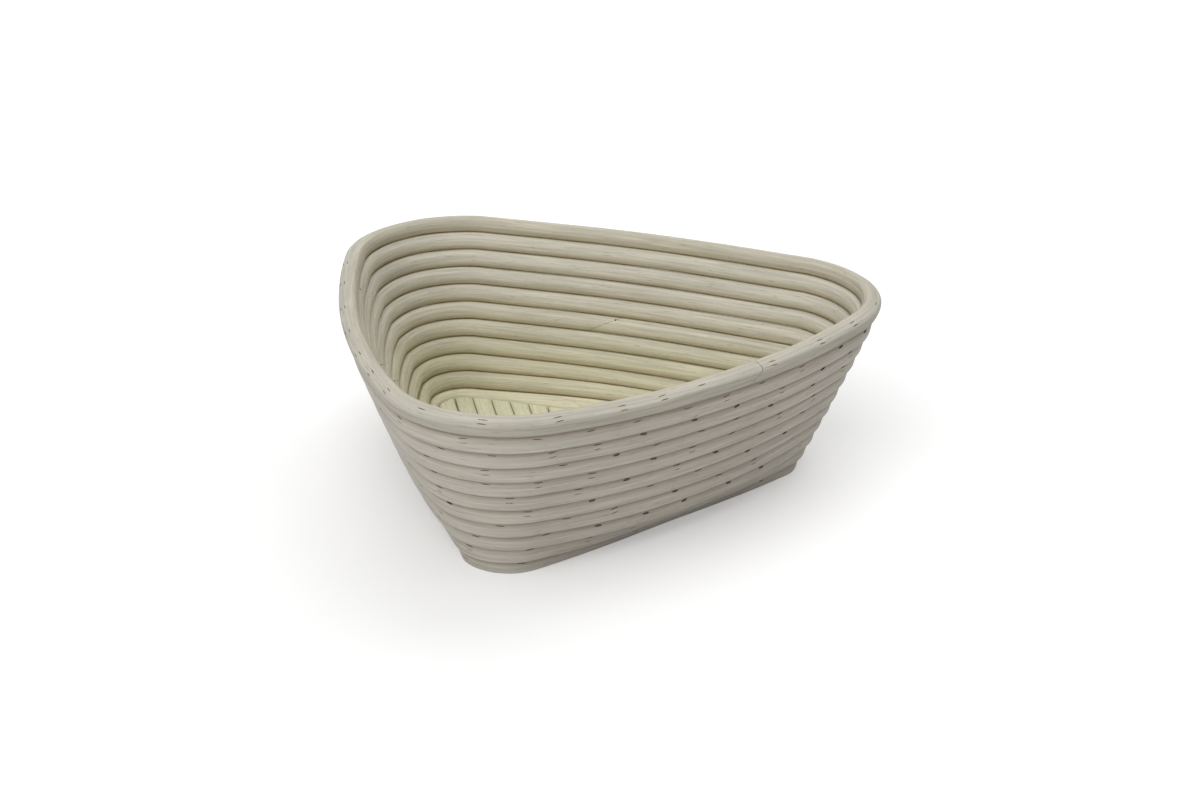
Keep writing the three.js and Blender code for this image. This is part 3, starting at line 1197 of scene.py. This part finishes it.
@dataclass(frozen=True)
class SpeckledFinish:
    """A plain finish with a fine mottle, for torn cane inside a slit and for dull steel."""

    name: str
    first: Colour
    second: Colour
    speck: float
    roughness: float
    metallic: float = 0.0
    detail: float = 3.0
    colour_range: Range = (0.35, 0.65)
    rough_range: Range = (0.3, 0.7)
    rough_spread: float = 0.1

    def material(self) -> bpy.types.Material:
        """Makes the material from the place on the object."""
        made, sheet, shader = start_material(self.name)
        place = sheet.add("ShaderNodeTexCoord").outputs["Object"]
        mottle = sheet.noise(place, 1 / self.speck, self.detail)
        share = sheet.ramp(mottle, *self.colour_range)
        sheet.feed(shader.inputs["Base Color"], sheet.mix(share, linear(*self.first), linear(*self.second)))
        rough = self.roughness - self.rough_spread, self.roughness + self.rough_spread
        sheet.feed(shader.inputs["Roughness"], sheet.ramp(mottle, *self.rough_range, *rough))
        shader.inputs["Metallic"].default_value = self.metallic
        return made


@dataclass(frozen=True)
class Sun:
    """A soft lamp far away."""

    name: str
    polar: float
    elevation: float
    strength: float
    softness: float

    def build(self) -> None:
        """Hangs the lamp so that it shines at the origin."""
        lamp = bpy.data.lights.new(self.name, "SUN")
        lamp.energy = self.strength
        lamp.angle = self.softness
        hung = bpy.data.objects.new(self.name, lamp)
        back = direction(self.polar, self.elevation)
        hung.location = back
        hung.rotation_euler = back.to_track_quat("Z", "Y").to_euler()
        bpy.context.scene.collection.objects.link(hung)


@dataclass(frozen=True)
class Camera:
    """The camera at the photograph's view. Its azimuth counts from -Y."""

    azimuth: float = math.radians(-10.62)
    elevation: float = math.radians(23.38)
    roll: float = math.radians(0.61)
    distance: float = 1105.5 * MM
    aim_right: float = 11.12 * MM
    aim_up: float = 38.39 * MM
    focal_pixels: float = 2361.3
    image_width: float = 1200.0
    sensor: float = 36.0

    def build(self) -> None:
        """Sets the camera up as the scene's own."""
        back = direction(self.azimuth - math.pi / 2, self.elevation)
        right = Vector((math.cos(self.azimuth), math.sin(self.azimuth), 0.0))
        up = back.cross(right)
        rolled_right = right * math.cos(self.roll) + up * math.sin(self.roll)
        rolled_up = back.cross(rolled_right)
        aim = rolled_right * self.aim_right + Vector((0.0, 0.0, self.aim_up))
        lens = bpy.data.cameras.new("camera")
        lens.sensor_width = self.sensor
        lens.sensor_fit = "HORIZONTAL"
        lens.lens = self.focal_pixels * self.sensor / self.image_width
        held = bpy.data.objects.new("camera", lens)
        turned = Matrix((rolled_right, rolled_up, back)).transposed().to_4x4()
        held.matrix_world = Matrix.Translation(aim + back * self.distance) @ turned
        bpy.context.scene.collection.objects.link(held)
        bpy.context.scene.camera = held


@dataclass(frozen=True)
class Studio:
    """The plain pale floor, the soft lamps and the white surroundings."""

    floor_radius: float = 4.0
    floor_segments: int = 96
    floor_colour: Colour = (232, 232, 232)
    floor_bounce: Colour = (220, 219, 215)
    floor_roughness: float = 0.9
    floor_glow: float = 0.28
    sky_light: float = 0.1
    suns: tuple[Sun, ...] = (
        Sun("key", math.radians(222), math.radians(62), 1.15, math.radians(55)),
        Sun("front", math.radians(238), math.radians(30), 1.2, math.radians(60)),
        Sun("back", math.radians(60), math.radians(55), 1.05, math.radians(60)),
        Sun("side", math.radians(0), math.radians(60), 0.4, math.radians(60)),
    )

    def build(self) -> None:
        """Sets up the floor, the lamps and the surroundings."""
        bm = bmesh.new()
        bmesh.ops.create_circle(bm, cap_ends=True, segments=self.floor_segments, radius=self.floor_radius)
        floor = new_object("floor", bm, self.floor_material())
        for sun in self.suns:
            sun.build()
        self.surround()

    def floor_material(self) -> bpy.types.Material:
        """Makes the matt finish of the floor, which shows paler than the light that it throws back."""
        made, sheet, shader = start_material("pale_floor")
        seen = self.seen(sheet)
        colour = sheet.mix(seen, linear(*self.floor_bounce), linear(*self.floor_colour))
        sheet.feed(shader.inputs["Base Color"], colour)
        sheet.feed(shader.inputs["Emission Strength"], sheet.math("MULTIPLY", seen, self.floor_glow))
        shader.inputs["Emission Color"].default_value = WHITE
        shader.inputs["Roughness"].default_value = self.floor_roughness
        shader.inputs["Specular IOR Level"].default_value = 0.0
        return made

    def surround(self) -> None:
        """Makes surroundings that show white but light the object softly."""
        world = bpy.data.worlds.new("surroundings")
        world.use_nodes = True
        bpy.context.scene.world = world
        sheet = NodeSheet(world.node_tree)
        backdrop = world.node_tree.nodes["Background"]
        backdrop.inputs["Color"].default_value = WHITE
        sheet.feed(backdrop.inputs["Strength"], sheet.math("MAXIMUM", self.seen(sheet), self.sky_light))

    @staticmethod
    def seen(sheet: NodeSheet) -> bpy.types.NodeSocket:
        """Adds the nodes that tell what the camera sees, in a mirror or through glass too.

        Args:
            sheet: The sheet that they go on.

        Returns:
            1 on what is seen, 0 on what only throws light.
        """
        path = sheet.add("ShaderNodeLightPath")
        through = sheet.math("MAXIMUM", path.outputs["Is Glossy Ray"], path.outputs["Is Transmission Ray"])
        return sheet.math("MAXIMUM", path.outputs["Is Camera Ray"], through)


@dataclass
class Basket:
    """The whole basket: the wall of hoops, the staples and the floor."""

    wall: Wall = field(default_factory=Wall)
    scarf: Scarf = field(default_factory=Scarf)
    wall_section: CaneSection = field(default_factory=CaneSection)
    rim_section: CaneSection = field(default_factory=lambda: CaneSection(
        outer_draft=0.2 * MM, crown_drop=0.7 * MM, lower_square=3.6, upper_square=4.5))
    wall_staple_turn: float = 0.332
    rim_staple_turn: float = 0.472
    wall_finish: CaneFinish = CaneFinish("wall_cane", (194, 189, 179), (197, 192, 177), (196, 191, 165))
    # The base hoop's inside is painted lighter than the wall's, as painted light on its tucked-in inner face.
    base_finish: CaneFinish = CaneFinish("base_cane", (193, 188, 178), (213, 208, 181), crease_shaded=(Seat.UPPER,),
                                         underside_shade_share=0.0)
    # The rim: painted crease shade only along its lower seat, no painted shade under a cane above, and less
    # painted shade inside.
    rim_finish: CaneFinish = CaneFinish("rim_cane", (185, 181, 169), (190, 184, 167), crease_shaded=(Seat.LOWER,),
                                        overhang_shade_share=0.0, underside_shade_share=0.3)
    # The slats: a little painted crease shade at their edges, and none of the other painted shade.
    floor_finish: CaneFinish = CaneFinish("floor_cane", (212, 208, 177), (214, 211, 182), overhang_shade_share=0.0,
                                          underside_shade_share=0.0, crease_shade_share=0.15, fibre_contrast=0.65)
    # Torn fibres, painted near black as painted shade inside the deep slits and nail holes.
    slit_finish: SpeckledFinish = SpeckledFinish("torn_cane_in_painted_shade", (52, 42, 31), (84, 70, 52), 0.5 * MM, 0.85)
    nick_finish: SpeckledFinish = SpeckledFinish("nicked_cane", (98, 80, 60), (162, 144, 118), 1.1 * MM, 0.8)
    steel_finish: SpeckledFinish = SpeckledFinish("dull_steel", (92, 84, 76), (140, 134, 126), 0.4 * MM, 0.55,
                                                  metallic=0.8)

    def build(self) -> None:
        """Builds and dresses every piece in order, and reports each."""
        effects = CaneEffects()
        wall_cane = self.wall_finish.material(effects)
        base_cane = self.base_finish.material(effects)
        rim_cane = self.rim_finish.material(effects)
        torn = self.slit_finish.material(), self.nick_finish.material()
        steel = self.steel_finish.material()
        for row in range(self.wall.row_count):
            is_rim = row == self.wall.row_count - 1
            hoop = Hoop(row, self.wall, self.scarf, self.rim_section if is_rim else self.wall_section)
            cane = base_cane if row == 0 else rim_cane if is_rim else wall_cane
            piece = hoop.build(cane, torn[Torn.SHALLOW.value])
            staples = StapleRow(hoop, self.rim_staple_turn if is_rim else self.wall_staple_turn)
            cut_away(piece, staples.cutters(*torn))
            hoop.finish(piece)
            LOG.info("%s: %d faces", piece.name, len(piece.data.polygons))
            wires = staples.build(steel)
            LOG.info("%s: %d staples", wires.name, len(staples.spots))
        for slat in Floor(self.wall, self.wall_section).build(self.floor_finish.material(effects)):
            LOG.info("%s: %d faces", slat.name, len(slat.data.polygons))


def main() -> None:
    """Builds the camera, the studio and the basket, and notes the size of the result."""
    logging.basicConfig(level=logging.INFO, format="%(name)s %(message)s")
    bpy.context.scene.view_settings.view_transform = "Standard"
    Camera().build()
    Studio().build()
    Basket().build()


if __name__ == "__main__":
    main()
